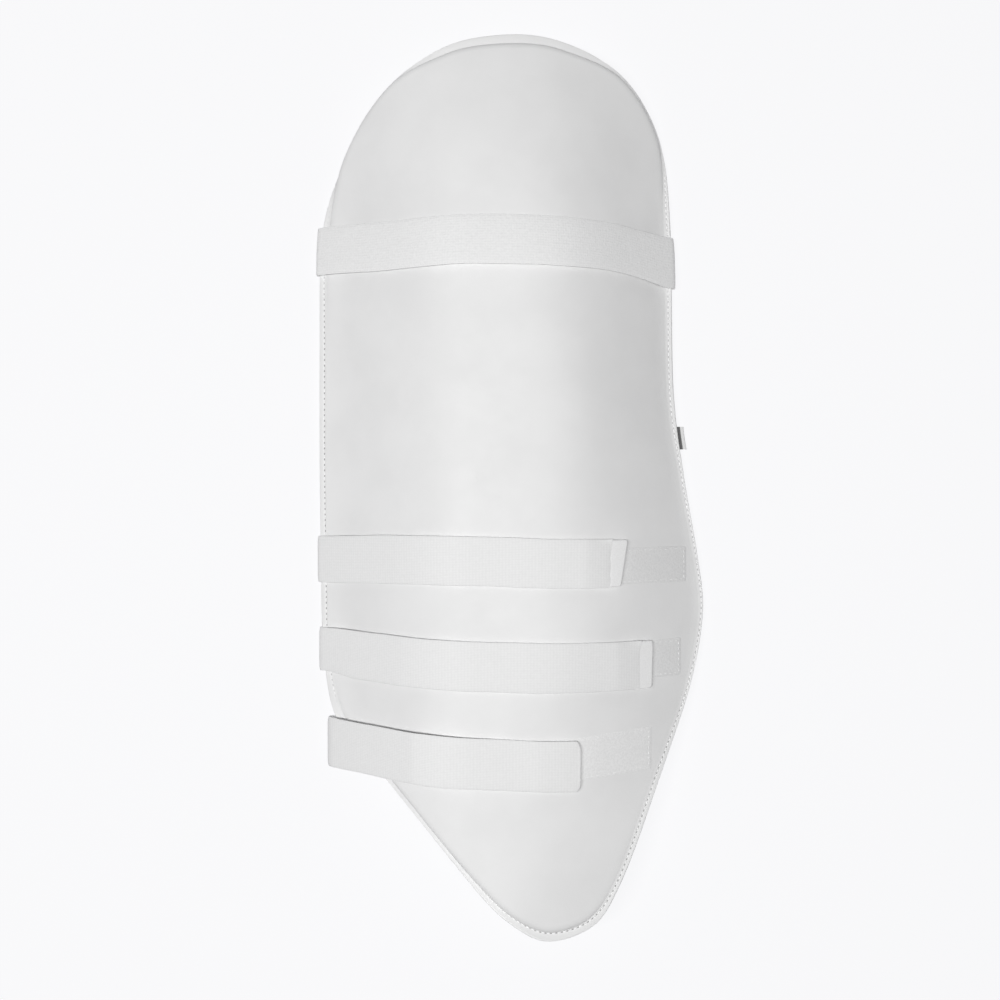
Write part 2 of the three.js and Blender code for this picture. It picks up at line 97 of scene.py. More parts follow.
# The outer face along the thigh: the height of its crown, how far its left and right sides reach, how far
# their feet are lifted, and the turn and bend of its right side
ARCH_COLUMNS = ("y", "crown", "left", "right", "left_up", "right_up", "turn", "bend")
ARCH = {
    "tip": (-215, 48, 80.5, 85, 6, 15, 32, 2.1),
    "strap": (-122, 51, 82.5, 93, 1, 5, 56, 3),
    "wing": (-58, 53, 85, 100, 0, 0, 60, 4),
    "waist": (45, 53, 86.5, 86, 0, 0, 56, 4.2),
    "band": (112, 51, 86, 84.2, 0, 0, 53, 3.6),
    "dome": (165, 46, 86.5, 84, 0, 0, 49, 3.1),
    "dome top": (215, 36, 87, 85, 0, 0, 46, 2.8),
}

# The outer edge in plan, down the left side and up the right side: how wide the sewn edge shows, the share
# of the step that is smoothed away, how far the edge hangs down under the padding or, below 0, turns up,
# and the share of the thread that shows, which is 0 where the seam is deep in its crease
OUTLINE_COLUMNS = ("x", "y", "edge", "smooth", "hang", "thread")
OUTLINE = {
    "dome top": (8.4, 213.3, 5, 0, 0, 0),
    "dome left": (-25.1, 207.6, 4.3, 0, 0, 0),
    "left brow": (-54.8, 191.2, 1.7, 0, 1.5, 0),
    "left shoulder": (-75, 161.9, 0.8, 0.1, 3, 0),
    "left upper side": (-85.2, 127.5, 3.6, 0.7, 0, 0.1),
    "left side": (-86.8, 60, 4.6, 1, 0, 1),
    "left lower side": (-86.3, -30, 4.6, 1, 0, 1),
    "left hip": (-84.8, -79, 4.6, 1, 0, 0.8),
    "left corner": (-80, -108.5, 5, 0.8, 0, 0),
    "cut start": (-69.8, -123.4, 4, 0.4, 0, 0),
    "cut middle": (-51.7, -141.5, 3, 0.1, 0, 0),
    "cut end": (-16.7, -178.1, 2.6, 0, 0, 0),
    "tip left": (4.1, -199.5, 3.2, 0, 0, 0.2),
    "tip": (24.9, -210.9, 4.5, 0.1, 0, 1),
    "tip right": (46.9, -204.1, 4.4, 0.6, -0.7, 0.9),
    "taper end": (58, -187.1, 3.6, 0.9, -0.9, 0.9),
    "taper start": (77.2, -139.7, 4.2, 1, -0.9, 0.8),
    "wing lower": (94.1, -93.3, 3.2, 1, -0.8, 0.6),
    "wing": (100.2, -58, 2.8, 1, -0.7, 0.6),
    "wing upper": (97.6, -32.8, 2.8, 1, -0.7, 0.5),
    "flank": (91.1, 5.2, 3.2, 1, -0.8, 0.35),
    "waist": (86.1, 43.1, 3.8, 1, -1.1, 0.35),
    "right upper side": (84.1, 126.1, 3.5, 1, -1.3, 0.35),
    "right shoulder": (80.1, 170.2, 1.7, 0.4, 0.6, 0),
    "right brow": (63.3, 197.2, 2.6, 0, 0.4, 0),
    "dome right": (33.5, 210.7, 4.6, 0, 0, 0),
}
TIP_INDEX = list(OUTLINE).index("tip")

# How finely the shell is cut up
OUTLINE_SAMPLES = 200
SIDE_STEPS = 320
ACROSS_STEPS = 72
ACROSS_STEPS_BACK = 36
LIP_RINGS = (0, 0.06, 0.25, 0.6, 0.9, 1, 1.08, 1.2, 1.6)
GROOVE_RINGS = (-1, -0.6, -0.3, 0, 0.3, 0.6, 1)
ROLL_RINGS = (0, 0.06, 0.14, 0.24, 0.36, 0.5, 0.7, 1)
BEVEL_RINGS = (0.12, 0.3, 0.6, 1)
RING_SPACE = 0.05
CROWN_SAMPLES = 400
SLOPE_STEP = 0.5
SHARP_ANGLE = math.radians(50)

# Thread in the seam
THREAD_SEEN = 0.15
STITCH_PITCH = 2.67
STITCH_LENGTH = 0.74
STITCH_RADIUS = 0.24
STITCH_SIDES = 8
CREASE_SINK = 0.35
# Rings of one stitch: place along it, share of its radius, and rise
STITCH_PROFILE = (
    (-1, 0.25, -0.42),
    (-0.72, 0.85, -0.08),
    (0, 1, 0.1),
    (0.72, 0.85, -0.08),
    (1, 0.25, -0.42),
)
STITCH_ALONG = np.array([row[0] for row in STITCH_PROFILE])

# Needle holes: half their length and half their width, and where their edge starts and ends to fade
HOLE_SIZE = (0.68, 0.3)
HOLE_FADE = (0.3, 1.3)
# Painted shade: how much darker the cover is painted inside the needle holes
HOLE_SHADE = 0.45
# A place that no needle hole reaches, in metres along the seam and off it
FAR_FROM_SEAM = (0.0, 1.0)

# Elastic, hook tape and loop tape
BAND_THICKNESS = 1.3
GAP = 0.15
PATCH_THICKNESS = 0.25
TAB_THICKNESS = 0.5
BAND_STEP = 0.9
WRAP_STEP = 0.25
SAME_POINT = 0.001
EASE_ROUNDS = 2
BAND_MARGIN = 2
BAND_ACROSS = 22
CROWDING = 0.8
EDGE_POWER = 6
END_ROUND = 2.2
# Slight waviness of a band's edges
EDGE_WAVE = 0.12
EDGE_WAVE_LENGTHS = (7.3, 17.9)
EDGE_WAVE_SKEW = 2
EDGE_WAVE_START = 1
# Places across the pad where the height of each band's middle line is given
STATIONS = (-80, -45, -9, 25, 58, 80)
# A positive tilt lifts the upper edge of a band off the pad, a negative one its lower edge
TOP_BAND = {
    "middle": (114.4, 112.9, 113.3, 113, 112.1, 108.7),
    "width": 23.2,
    "tilt": -1.3,
    "flare": 0.7,
    "edge_power": 2.6,
}
STRAPS = {
    "upper": {
        "middle": (-34.3, -33.3, -33.6, -34.7, -35, -35.2),
        "width": 22.6,
        "tilt": 0.25,
        "slack": 2.6,
    },
    "middle": {
        "middle": (-78.6, -80.3, -81.6, -82.6, -82.9, -83),
        "width": 23,
        "tilt": 0.15,
        "slack": 3.6,
        "pinch": 1.8,
    },
    "lower": {
        "middle": (-122, -124.1, -125.9, -127.9, -129, -129.6),
        "width": 23.6,
        "tilt": 0.05,
        "slack": 11,
        "fold": {"x": -75, "radius": 5.5},
    },
}
STRAP_ENDS = {
    "upper": {"x": 52.3, "lift": 0, "is_sewn_thin": True},
    "middle": {"x": 66.4, "lift": 0, "is_sewn_thin": True},
    "lower": {"x": 38.1, "lift": 0.9, "is_sewn_thin": False},
}
# A strap stands off the pad more and more from the crest to its left turn
SLACK_TURN = -80
SLACK_RISE = 10
SLACK_END = 8
SLACK_POWER = 1.3
# The top band widens towards its right turn, and the middle strap's lower edge draws in at its left turn
FLARE_START = 62
FLARE_LENGTH = 20
PINCH_START = -66
PINCH_LENGTH = 18
# A strap's end is lifted, or thins out over the hook tape and curls up at its upper corner
END_LIFT_LENGTH = 26
END_THIN_LENGTH = 1.8
END_THIN = 0.12
END_FLAT_LENGTH = 22
CURL_LENGTH = 9
CURL_HEIGHT = 1.2
CURL_POWER = 4
# The lower strap lies slack on the floor behind the leg and rises to where it is sewn on
LYING_STEPS = 40
LYING_POWER = 5
SEWN_INSET = 2.5
# The top band's ends are sewn down on the inner face
TAIL_START = 3
TAIL_LENGTH = 27
TAIL_STEP = 2
BELOW_PAD = -100

# Tapes on the outer face
HOOK_TABS = {
    "upper": {"start": 40, "end_top": 61.1, "end_bottom": 57.4, "height": 21.9, "round": 1.6},
    "middle": {"start": 54, "end_top": 73.5, "end_bottom": 73.1, "height": 22.6, "round": 1.8},
    "lower": {"start": 18, "end_top": 37.4, "end_bottom": 37.4, "height": 19, "round": 1.5},
}
# Greys: the tape's own tone, with painted shade on the upper and middle patches and painted light on the
# lower
LOOP_PATCHES = {
    "upper": {"start": 34, "end": 91, "y": -36.4, "rise": 0, "height": 17, "greys": (0.78, 0.845)},
    "middle": {"start": 48, "end": 88, "y": -81.4, "rise": 0.01, "height": 18, "greys": (0.78, 0.845)},
    "lower": {"start": 12, "end": 73, "y": -128.2, "rise": 0.075, "height": 20.2, "greys": (0.82, 0.89)},
}
PATCH_ROUND = 1
PATCH_FEATHER = 1.7
TAB_FEATHER = 0.4
THIN_EDGE = 0.06
# Where the hook tape comes up past the strap's end, and how far it stays under the strap's face
HEM = 1.8
FLUSH = 0.14
TAPE_STEP = 0.9
TAPE_EDGE_STEPS = (0, 0.08, 0.2, 0.4, 0.7, 1.1, 1.7)
# Stitches that hold a patch down
PATCH_STITCH = {"inset": 1.3, "pitch": 2.6, "radius": 0.14}

# The tag stands out of the right seam, pale round its fold and dark where it is sewn in
TAG = {
    "y": 24.4,
    "height": 11,
    "inside": 3,
    "outside": 3.1,
    "thickness": 0.9,
    "tape": 0.38,
    "pale": 1.4,
    "blend": 0.5,
}
TAG_STEPS = 18
TAG_TURN_STEPS = 9
TAG_WAVE = 0.12
TAG_WAVE_START = 1
TAG_GREYS = (0.84, 0.15)
TAG_WEAVE = {"rib": 0.4, "pick": 0.8, "shift": math.pi}
TAG_THREADS = (0.3, 0.75)

# White cover, with the scale and detail of its noises
COVER_ROUGHNESS = 0.58
GLOSS_SPREAD = 0.06
COVER_GREYS = (0.82, 0.86)
COVER_NOISES = {"mottle": (35.0, 5.0), "gloss": (180.0, 3.0), "dents": (260.0, 3.0)}
GRAIN_SCALE = 1100.0
DENT_SHARE = 1.5

# Woven elastic: the width of its ribs and picks, its greys, and the scale and share of its unevenness
WEAVES = {
    "band": {"rib": 1.2, "pick": 1.2, "greys": (0.84, 0.91), "grain": 900.0, "uneven": 4.0},
    "strap": {"rib": 0.75, "pick": 1.5, "greys": (0.82, 0.885), "grain": 700.0, "uneven": 1.2},
}
WEAVE_ROUGHNESS = 0.85
WEAVE_DETAIL = 2.0
KNOT_SHARE = 0.3

# Tape and thread
HOOK_TAPE = {"greys": (0.9, 0.95), "grain": 1500.0, "bump": 0.1}
THREAD = {"greys": (0.9, 0.95), "grain": 3000.0, "bump": 0.05}
LOOP_NAP = {"grain": 1100.0, "bump": 0.22}
CLOTH_ROUGHNESS = 0.9
CLOTH_DETAIL = 4.0

# Strength and height of the bumps, the usual reach of a noise, and the gloss of all materials
COVER_BUMP = (0.12, 0.08)
WEAVE_BUMP = (0.5, 0.12)
CLOTH_BUMP_STRENGTH = 0.4
NARROW_NOISE = (0.3, 0.7)
WIDE_NOISE = (0.25, 0.75)
SPECULAR = 0.18

# Camera and light
CAMERA_PLACE = (1.4, -5.7, 800)
CAMERA_LENS = 59.1
# The softbox's place and size in metres, and its power
SOFTBOX = ((-0.23, -0.065, 1.6), (1.1, 0.1), 23.4)
WORLD_STRENGTH = 0.08
WHITE = (1, 1, 1, 1)
# Floor and backdrop
FLOOR_SIZE = 60
FLOOR_ROUGHNESS = 0.9
FLOOR_COLOUR = (0.12, 0.12, 0.12, 1)
STAGE_COLOUR = (0.985, 0.985, 1, 1)
STAGE_GLOW = 0.85

ARCH_ROWS = dict(zip(ARCH_COLUMNS, np.array(list(ARCH.values()), float).T))
OUTLINE_ROWS = dict(zip(OUTLINE_COLUMNS, np.array(list(OUTLINE.values()), float).T))


def mix(a, b, share):
    return a + (b - a) * share


def smoothstep(share):
    share = np.clip(share, 0, 1)
    return share * share * (3 - 2 * share)


def unit(vectors):
    return vectors / np.linalg.norm(vectors, axis=-1, keepdims=True)


def stacked(*columns):
    return np.stack(columns, axis=-1)


def lengths_along(line):
    """Length of a line up to each of its points."""
    return np.concatenate([[0], np.cumsum(np.linalg.norm(np.diff(line, axis=0), axis=1))])


def curve_through(places, values, steepness, at):
    """A smooth curve through values at rising places, with a steepness at each."""
    k = np.clip(np.searchsorted(places, at) - 1, 0, len(places) - 2)
    span = places[k + 1] - places[k]
    t = np.clip((at - places[k]) / span, 0, 1)
    bow = t * (1 - t) * span * ((1 - t) * steepness[k] - t * steepness[k + 1])
    return mix(values[k], values[k + 1], smoothstep(t)) + bow


def column_at(name, y):
    """One column of the arch along the thigh."""
    heights, values = ARCH_ROWS["y"], ARCH_ROWS[name]
    index = np.arange(len(heights))
    before, after = np.maximum(index - 1, 0), np.minimum(index + 1, len(heights) - 1)
    steepness = (values[after] - values[before]) / (heights[after] - heights[before])
    return curve_through(heights, values, steepness, y)


def arch_fall(distance, reach, turn, bend, flare_width):
    """How far the arch has fallen at some distance from its crest, as a share of its turn."""
    roof = (1 + (distance / turn) ** bend) ** (1 / bend) - 1
    into_flare = np.maximum(distance - reach + flare_width, 0)
    return roof - (1 - EDGE_FLARE) * into_flare**2 / (2 * flare_width * turn)


def face_height(x, y):
    """Height of the outer face."""
    is_left = x < CREST
    side = (
        np.where(is_left, LEFT_TURN, column_at("turn", y)),
        np.where(is_left, LEFT_BEND, column_at("bend", y)),
        np.where(is_left, LEFT_FLARE_WIDTH, RIGHT_FLARE_WIDTH),
    )
    reach = np.where(is_left, column_at("left", y) + CREST, column_at("right", y) - CREST)
    lift = np.where(is_left, column_at("left_up", y), column_at("right_up", y))
    crown = column_at("crown", y)
    share = arch_fall(np.abs(x - CREST), reach, *side) / arch_fall(reach, reach, *side)
    return crown - (crown - FOOT_HEIGHT - lift) * share


def face_normal(x, y):
    along_x = (face_height(x + SLOPE_STEP, y) - face_height(x - SLOPE_STEP, y)) / (2 * SLOPE_STEP)
    along_y = (face_height(x, y + SLOPE_STEP) - face_height(x, y - SLOPE_STEP)) / (2 * SLOPE_STEP)
    return unit(stacked(-along_x, -along_y, np.ones_like(along_x)))


def point_under(plan, depth):
    """Points at some depth under the outer face."""
    x, y = plan[..., 0], plan[..., 1]
    points = stacked(x, y, face_height(x, y))
    return points - face_normal(x, y) * np.broadcast_to(depth, x.shape)[..., None]


def outline_at(share):
    """The outline and its other columns at some shares of the way round."""
    count = len(OUTLINE)
    corners = stacked(OUTLINE_ROWS["x"], OUTLINE_ROWS["y"])
    index = np.floor(share * count).astype(int)
    t = (share * count - index)[:, None]
    p0, p1, p2, p3 = (corners[(index + step) % count] for step in (-1, 0, 1, 2))
    pairs = ((p0, p1), (p1, p2), (p2, p3))
    d0, d1, d2 = (np.sqrt(np.linalg.norm(b - a, axis=-1))[:, None] for a, b in pairs)
    start = ((p1 - p0) / d0 - (p2 - p0) / (d0 + d1) + (p2 - p1) / d1) * d1
    end = ((p2 - p1) / d1 - (p3 - p1) / (d1 + d2) + (p3 - p2) / d2) * d1
    square, cube = 3 * (p2 - p1) - 2 * start - end, 2 * (p1 - p2) + start + end
    plan = p1 + start * t + square * t**2 + cube * t**3
    part = smoothstep(t[:, 0])
    columns = {
        name: mix(OUTLINE_ROWS[name][index % count], OUTLINE_ROWS[name][(index + 1) % count], part)
        for name in OUTLINE_COLUMNS[2:]
    }
    return plan, columns


def edge_frames():
    """Evenly spaced places round the edge: the way in, and the sizes of the edge and the padding there."""
    shares = []
    tip = TIP_INDEX / len(OUTLINE)
    for start, end in ((0, tip), (tip, 1)):
        fine = np.linspace(start, end, OUTLINE_SAMPLES * len(OUTLINE))
        lengths = lengths_along(outline_at(fine)[0])
        shares.append(np.interp(np.arange(SIDE_STEPS) / SIDE_STEPS * lengths[-1], lengths, fine))
    rim, columns = outline_at(np.concatenate(shares))
    along = unit(np.roll(rim, -1, axis=0) - np.roll(rim, 1, axis=0))
    edge, smooth = columns["edge"], columns["smooth"]
    return {
        "rim": rim,
        "inward": stacked(-along[:, 1], along[:, 0]),
        "edge": edge,
        "smooth": smooth,
        "hang": columns["hang"],
        "thread": columns["thread"],
        "step": STEP_HEIGHT * (1 - smooth),
        "bevel": mix(STEP_BEVEL, SMOOTH_BEVEL, smooth),
        "lip": np.minimum(LIP_WIDTH, edge * NARROW_SHARE),
        "seam": edge - mix(SEAM_INSET, SEAM_INSET_SMOOTH, smooth),
        "groove": GROOVE_DEPTH * np.sqrt(columns["thread"]),
        "reach": np.minimum(GROOVE_REACH, edge * NARROW_SHARE),
    }


def plan_at(frames, distance):
    return frames["rim"] + frames["inward"] * np.broadcast_to(distance, frames["edge"].shape)[:, None]


def bell(distance, middle, width):
    return np.exp(-(((distance - middle) / width) ** 2))


def front_depth(frames, distance):
    """Depth of the outer face near the edge: lip, seam groove, crease, and the step up to the padding."""
    roll = np.clip((distance - frames["edge"]) / STEP_ROLL, 0, 1)
    depth = frames["step"] * (1 - roll) ** ROLL_POWER
    depth = depth + frames["hang"] * np.clip(1 - distance / frames["edge"], 0, 1)
    depth = depth + LIP_DROP * (1 - smoothstep((distance - frames["lip"]) / LIP_WALL))
    depth = depth + RIM_ROUND * np.clip(1 - distance / (frames["lip"] * RIM_ROUND_SHARE), 0, 1) ** 2
    depth = depth + frames["groove"] * bell(distance, frames["seam"], GROOVE_WIDTH)
    crease_width = np.where(distance < frames["edge"], CREASE_WIDTH_OUTSIDE, CREASE_WIDTH)
    return depth + CREASE_DEPTH * (1 - frames["smooth"]) * bell(distance, frames["edge"], crease_width)


def front_distances(frames):
    """How far in from the rim each ring of the outer face lies."""
    wanted = [frames["lip"] * share for share in LIP_RINGS]
    wanted += [frames["seam"] + frames["reach"] * share for share in GROOVE_RINGS]
    wanted += [frames["edge"] + STEP_ROLL * share for share in ROLL_RINGS]
    distances = [wanted[0]]
    for distance in wanted[1:]:
        distances.append(np.maximum(distance, distances[-1] + RING_SPACE))
    return distances


def back_rings(frames):
    """Distances and depths of the rings on the inner face."""
    rim = BACK_INSET + np.maximum(frames["hang"], 0) * HANG_INSET
    under = frames["step"] + EDGE_THICKNESS
    rings = [(rim, under + frames["hang"] * HANG_BACK), (frames["edge"] + rim, under)]
    for share in BEVEL_RINGS:
        depth = mix(PAD_THICKNESS, under, (1 - share) ** 2)
        rings.append((frames["edge"] + rim + frames["bevel"] * share, depth))
    return rings


class MeshParts:
    """Points, faces and the places of their corners on the piece, gathered for one mesh."""

    def __init__(self):
        self.points = []
        self.faces = []
        self.places = []

    def add_points(self, points):
        start = len(self.points)
        self.points.extend(points.tolist())
        return np.arange(start, start + len(points))

    def add_face(self, corners, places):
        self.faces.append([int(corner) for corner in corners])
        self.places.extend(places)


def add_rings(parts, rings, seam_places, is_front):
    """Faces between the rings of one face, outside ring first."""
    count = len(rings[0])
    for outer, inner, (run, outside, inside) in zip(rings, rings[1:], seam_places):
        for i in range(count):
            j = (i + 1) % count
            corners = [outer[i], outer[j], inner[j], inner[i]]
            places = [(run[i], outside[i]), (run[i + 1], outside[j])]
            places += [(run[i + 1], inside[j]), (run[i], inside[i])]
            if not is_front:
                corners.reverse()
                places.reverse()
            parts.add_face(corners, places)


def add_rows(parts, inner, inner_plan, across, depth_at, is_front):
    """Rows of faces across the middle of one face, from the dome to the tip."""
    count = len(inner)
    rows = [np.full(across + 1, inner[0])]
    for i in range(1, SIDE_STEPS):
        mirror = (count - i) % count
        shares = np.arange(1, across)[:, None] / across
        plan = mix(inner_plan[i], inner_plan[mirror], shares)
        between = parts.add_points(point_under(plan, depth_at(plan)))
        rows.append(np.concatenate([[inner[i]], between, [inner[mirror]]]))
    rows.append(np.full(across + 1, inner[SIDE_STEPS]))
    for row, following in zip(rows, rows[1:]):
        for j in range(across):
            corners = list(dict.fromkeys((row[j], following[j], following[j + 1], row[j + 1])))
            parts.add_face(corners if is_front else corners[::-1], [FAR_FROM_SEAM] * len(corners))


def add_wall(parts, a, b):
    """Faces between two rings of points."""
    count = len(a)
    for i in range(count):
        j = (i + 1) % count
        parts.add_face([a[i], b[i], b[j], a[j]], [FAR_FROM_SEAM] * 4)


def add_tube(parts, rings):
    """Faces round and over the ends of a tube."""
    for a, b in zip(rings, rings[1:]):
        add_wall(parts, a, b)
    for end in (rings[0], rings[-1][::-1]):
        parts.add_face(end, [FAR_FROM_SEAM] * len(end))


def surface_wave(plan):
    """Slight unevenness of the moulded face."""
    long, cross, short = (
        plan[..., 0] / lengths[0] + plan[..., 1] / lengths[1]
        for lengths in (LONG_WAVE, CROSS_WAVE, SHORT_WAVE)
    )
    wave = np.sin(long) * np.sin(cross) + SHORT_WAVE_SHARE * np.sin(short + SHORT_WAVE_START)
    return WAVE_HEIGHT * wave


def shell_parts(frames):
    """The whole shell, and how much thread shows at its first points, which are those near the seam."""
    parts = MeshParts()
    run = frames["run"]
    distances = front_distances(frames)
    fronts = []
    for distance in distances:
        plan = plan_at(frames, distance)
        depth = front_depth(frames, distance) + surface_wave(plan)
        fronts.append(parts.add_points(point_under(plan, depth)))
    off_seam = [(distance - frames["seam"]) * MM for distance in distances]
    seam_places = [(run * MM, outside, inside) for outside, inside in zip(off_seam, off_seam[1:])]
    add_rings(parts, fronts, seam_places, True)
    add_rows(parts, fronts[-1], plan_at(frames, distances[-1]), ACROSS_STEPS, surface_wave, True)
    rings = back_rings(frames)
    backs = [parts.add_points(point_under(plan_at(frames, inset), depth)) for inset, depth in rings]
    far = np.ones(len(run))
    add_rings(parts, backs, [(run * 0, far, far)] * len(backs), False)
    back_plan = plan_at(frames, rings[-1][0])
    add_rows(parts, backs[-1], back_plan, ACROSS_STEPS_BACK, lambda plan: PAD_THICKNESS, False)
    add_wall(parts, fronts[0], backs[0])
    return parts, np.tile(frames["thread"], len(fronts))


def seam_line(frames):
    plan = plan_at(frames, frames["seam"])
    return point_under(plan, front_depth(frames, frames["seam"]) - frames["groove"])


def with_run(frames):
    """The frames with the length of the seam up to each of them and all round, and the stitch pitch."""
    line = seam_line(frames)
    run = lengths_along(np.vstack([line, line[:1]]))
    return {**frames, "run": run, "pitch": run[-1] / round(run[-1] / STITCH_PITCH)}


def stitch_parts(frames):
    """Stitches along the seam where the thread shows, sunk in where the seam lies in the crease."""
    parts = MeshParts()
    run, pitch = frames["run"], frames["pitch"]
    sunk = CREASE_SINK * (1 - frames["smooth"])
    columns = [np.append(column, column[0]) for column in (*seam_line(frames).T, sunk)]
    is_seen = np.append(frames["thread"], frames["thread"][0]) > THREAD_SEEN
    for middle in np.arange(pitch / 2, run[-1], pitch):
        if not is_seen[np.searchsorted(run, middle)]:
            continue
        places = middle + STITCH_ALONG * STITCH_LENGTH * pitch / 2
        x, y, z, sink = (np.interp(places, run, column) for column in columns)
        normals = face_normal(x, y)
        line = stacked(x, y, z) - normals * sink[:, None]
        add_stitch(parts, line, normals, STITCH_RADIUS)
    return parts


def add_stitch(parts, line, normals, radius):
    """One stitch of thread along a short line, sinking in at both ends."""
    angles = np.arange(STITCH_SIDES) * 2 * math.pi / STITCH_SIDES
    across = unit(np.cross(normals, line[-1] - line[0]))
    rings = []
    for centre, normal, side, (_, thickness, rise) in zip(line, normals, across, STITCH_PROFILE):
        circle = np.cos(angles)[:, None] * side + np.sin(angles)[:, None] * normal
        rings.append(parts.add_points(centre + normal * rise + circle * radius * thickness))
    add_tube(parts, rings)


def own_shift():
    """From the pad's own coordinates to the frame's."""
    patch = LOOP_PATCHES["upper"]
    patch_low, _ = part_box("loop_patch_upper")
    _, shell_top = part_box("pad_shell")
    heights = np.linspace(ARCH_ROWS["y"].min(), ARCH_ROWS["y"].max(), CROWN_SAMPLES)
    crown = face_height(np.full_like(heights, CREST), heights).max()
    own = np.array([patch["start"], patch["y"] - patch["height"] / 2, crown])
    return np.array([patch_low.x, patch_low.y, shell_top.z]) / MM - own


SHIFT = own_shift()


def add_object(name, data):
    """A new object in the scene."""
    thing = bpy.data.objects.new(name, data)
    bpy.context.scene.collection.objects.link(thing)
    return thing


def make_piece(name, parts, material, slot, *nodes):
    """A mesh object of the pad, in place in the frame."""
    mesh = bpy.data.meshes.new(name)
    points = (np.array(parts.points) + SHIFT) * MM
    mesh.from_pydata(points.tolist(), [], parts.faces)
    layer = mesh.uv_layers.new(name="places")
    layer.data.foreach_set("uv", np.array(parts.places, float).ravel())
    mesh.polygons.foreach_set("use_smooth", [True] * len(mesh.polygons))
    mesh.set_sharp_from_angle(angle=SHARP_ANGLE)
    mesh.materials.append(material)
    mesh.validate()
    mesh.update()
    piece = add_object(name, mesh)
    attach(piece, "root")
    if nodes:
        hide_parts(*nodes)
    return piece


def set_thread(piece, shares):
    """How much of the thread shows at the first points of the shell, for its needle holes' dents and
    painted shade.
    """
    layer = piece.data.attributes.new("thread", "FLOAT", "POINT")
    values = np.zeros(len(piece.data.vertices))
    values[: len(shares)] = shares
    layer.data.foreach_set("value", values)


def turn_of(a, b, c):
    return (b[0] - a[0]) * (c[1] - a[1]) - (b[1] - a[1]) * (c[0] - a[0])


def line_around(section):
    """The shortest closed line round a section: left along the bottom, then right over the top."""
    ordered = sorted(map(tuple, section))
    halves = []
    for points in (ordered, ordered[::-1]):
        chain = []
        for point in points:
            while len(chain) > 1 and turn_of(chain[-2], chain[-1], point) <= 0:
                chain.pop()
            chain.append(point)
        halves.append(chain[:-1])
    bottom, top = halves
    return np.array(bottom[::-1] + top[::-1])


def taut_line(section):
    """The middle line of a taut band round a section, kept clear of its corners and turning round them."""
    hull = line_around(section)
    distance = GAP + BAND_THICKNESS / 2
    line = []
    for i, corner in enumerate(hull):
        before, after = hull[i - 1], hull[(i + 1) % len(hull)]
        first = math.atan2(corner[0] - before[0], before[1] - corner[1])
        last = math.atan2(after[0] - corner[0], corner[1] - after[1])
        sweep = (first - last) % (2 * math.pi)
        turns = math.ceil(sweep / WRAP_STEP)
        for k in range(turns + 1):
            angle = first - sweep * k / max(turns, 1)
            line.append(corner + distance * np.array([math.cos(angle), math.sin(angle)]))
    return np.array(line)


def line_until(line, x):
    """The stretch of a line until it passes x, with a last point on x."""
    passed = np.nonzero((line[:, 0] < x) != (line[0, 0] < x))[0]
    if not len(passed):
        return line
    stop = passed[0]
    share = (x - line[stop - 1, 0]) / (line[stop, 0] - line[stop - 1, 0])
    return np.vstack([line[:stop], mix(line[stop - 1], line[stop], share)])


def middle_of(band, x):
    """Height on the thigh of a band's middle line, on a smooth curve through its stations."""
    heights = np.array(band["middle"], float)
    stations = np.array(STATIONS, float)
    return curve_through(stations, heights, np.gradient(heights, stations), x)


def section_under(clouds, band):
    """The points of some pieces that a band passes over, seen along the thigh."""
    points = np.vstack(clouds)
    near = np.abs(points[:, 1] - middle_of(band, points[:, 0])) < band["width"] / 2 + BAND_MARGIN
    return points[near][:, [0, 2]]


def even_line(line):
    """A line with evenly spaced points and its kinks eased, and the length up to each point."""
    is_apart = np.linalg.norm(np.diff(line, axis=0), axis=1) > SAME_POINT
    line = line[np.concatenate([[True], is_apart])]
    lengths = lengths_along(line)
    places = np.linspace(0, lengths[-1], math.ceil(lengths[-1] / BAND_STEP) + 1)
    even = stacked(*(np.interp(places, lengths, column) for column in line.T))
    for _ in range(EASE_ROUNDS):
        even[1:-1] = (even[:-2] + 2 * even[1:-1] + even[2:]) / 4
    return even, places


def band_profile(band):
    """The band's outline across: place on its width and share of its thickness, outer face first."""
    power = band.get("edge_power", EDGE_POWER)
    across = np.cos(np.linspace(0, math.pi, BAND_ACROSS + 1))
    across = np.sign(across) * np.abs(across) ** CROWDING
    thick = np.sqrt(1 - np.abs(across) ** power)
    outer = stacked(across, thick)
    inner = stacked(across[-2:0:-1], -thick[-2:0:-1])
    return np.vstack([outer, inner])


def looseness(x):
    """How loose a strap is: 0 on the crest, 1 beside its left turn."""
    off_crest = np.clip((SLACK_END - x) / (SLACK_END - SLACK_TURN - SLACK_RISE), 0, 1) ** SLACK_POWER
    return off_crest * smoothstep((x - SLACK_TURN) / SLACK_RISE)


def end_shape(from_end, end):
    """Near a strap's end: how far its corners draw in, its thickness, and its upper corner's curl."""
    if end["is_sewn_thin"]:
        thin = mix(1, END_THIN, smoothstep(1 - from_end / END_THIN_LENGTH))
        return 0, thin, CURL_HEIGHT * max(1 - from_end / CURL_LENGTH, 0) ** 2
    cut = max(END_ROUND - from_end, 0)
    return END_ROUND - math.sqrt(END_ROUND**2 - cut**2), 1, 0


def edge_wave(place, across):
    """Slight waviness along a band."""
    short, long = EDGE_WAVE_LENGTHS
    ripple = np.sin(place / short + across * EDGE_WAVE_SKEW)
    return EDGE_WAVE * ripple * np.sin(place / long + EDGE_WAVE_START)


